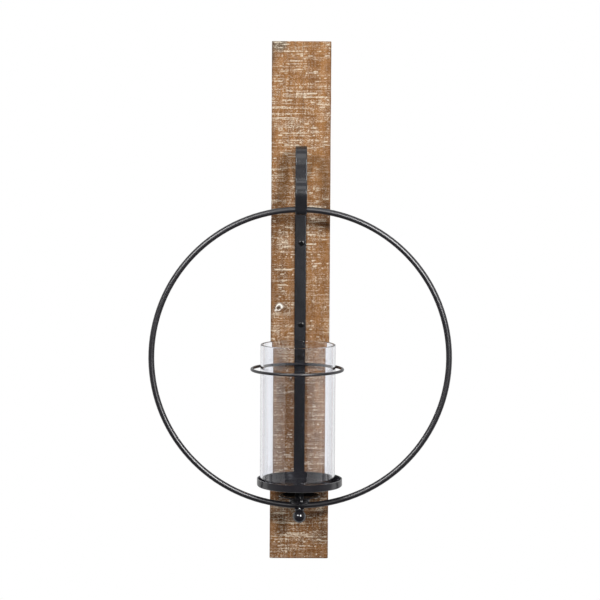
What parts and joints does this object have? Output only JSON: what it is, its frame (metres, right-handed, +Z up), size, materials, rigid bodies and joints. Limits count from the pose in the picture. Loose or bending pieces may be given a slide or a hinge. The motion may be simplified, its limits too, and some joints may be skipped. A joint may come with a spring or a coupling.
{
  "type": "wall sconce candle holder",
  "caption": "Tall plank wall sconce: a flat-bar hook carries a large rod ring, and a tray with a glass hurricane cylinder for a candle stands in front of it.",
  "frame": {"origin": "centre of the plank's flat back face, where it meets the wall", "axes": "+Z up along the plank, +Y into the wall, so the front faces -Y and +X is to the viewer's right"},
  "size_m": [0.408, 0.1505, 0.711],
  "materials": {
    "reclaimed_wood": "rough sawn, brown stain with thin whitewash left in the saw marks",
    "black_metal": "satin black powder coat",
    "black_gloss": "glossier black enamel",
    "clear_glass": "clear soda glass, fire-polished edges",
    "zinc_steel": "zinc plated"
  },
  "bodies": {
    "sconce": {"board": "reclaimed_wood", "hook_strap": "black_metal", "strap_screws": "black_metal", "guard_lug": "black_metal", "lug_screw": "black_metal", "guard_ring": "black_metal", "frame_ring": "black_metal", "candle_tray": "black_gloss", "tray_stud": "zinc_steel", "spacer_sleeve": "black_metal", "drip_dish": "black_gloss", "bead_collar": "black_gloss", "neck_washer": "black_gloss", "ball_finial": "black_gloss", "hanger_plate": "zinc_steel", "hanger_screws": "zinc_steel"},
    "glass": {"glass_cylinder": "clear_glass"}
  },
  "joints": [
    {"name": "glass_lift", "type": "slide", "parent": "sconce", "child": "glass", "axis": [0, 0, 1], "range_m": [0, 0.16]}
  ]
}
